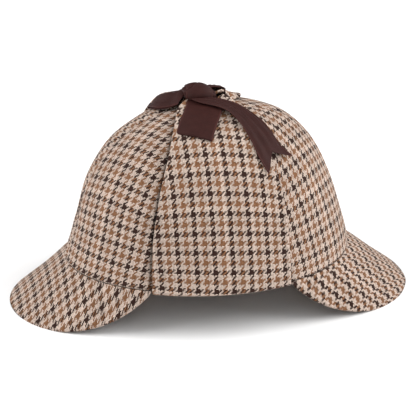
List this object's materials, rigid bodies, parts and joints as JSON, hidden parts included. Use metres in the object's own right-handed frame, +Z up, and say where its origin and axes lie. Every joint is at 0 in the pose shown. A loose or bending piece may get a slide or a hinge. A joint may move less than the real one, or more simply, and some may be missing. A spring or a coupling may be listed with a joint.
{
  "type": "deerstalker hat",
  "caption": "Deerstalker hat in checked tweed: domed crown, peaks front and back, ear flaps folded up and tied on top with a ribbon bow.",
  "frame": {"origin": "centre of the hat's box on the surface that both peaks rest on", "axes": "+Y towards the back peak along the hat's length, +X to the wearer's left, +Z up through the crown"},
  "size_m": [0.175, 0.3038, 0.1608],
  "materials": {
    "tweed_crown": "woven wool tweed, gun-club check in cream, brown and tan",
    "tweed_peak_front": "woven wool tweed, gun-club check in cream, brown and tan",
    "tweed_peak_back": "woven wool tweed, gun-club check in cream, brown and tan",
    "tweed_ear_flap_left": "woven wool tweed, gun-club check in cream, brown and tan",
    "tweed_ear_flap_right": "woven wool tweed, gun-club check in cream, brown and tan",
    "ribbon": "dark brown ribbed ribbon"
  },
  "bodies": {
    "root": {"crown": "tweed_crown", "peak_front": "tweed_peak_front", "peak_back": "tweed_peak_back", "ear_flap_left": "tweed_ear_flap_left", "ear_flap_right": "tweed_ear_flap_right", "ribbon_knot": "ribbon", "ribbon_loop_left": "ribbon", "ribbon_loop_right": "ribbon", "ribbon_tail_left": "ribbon", "ribbon_tail_right": "ribbon"}
  },
  "joints": []
}
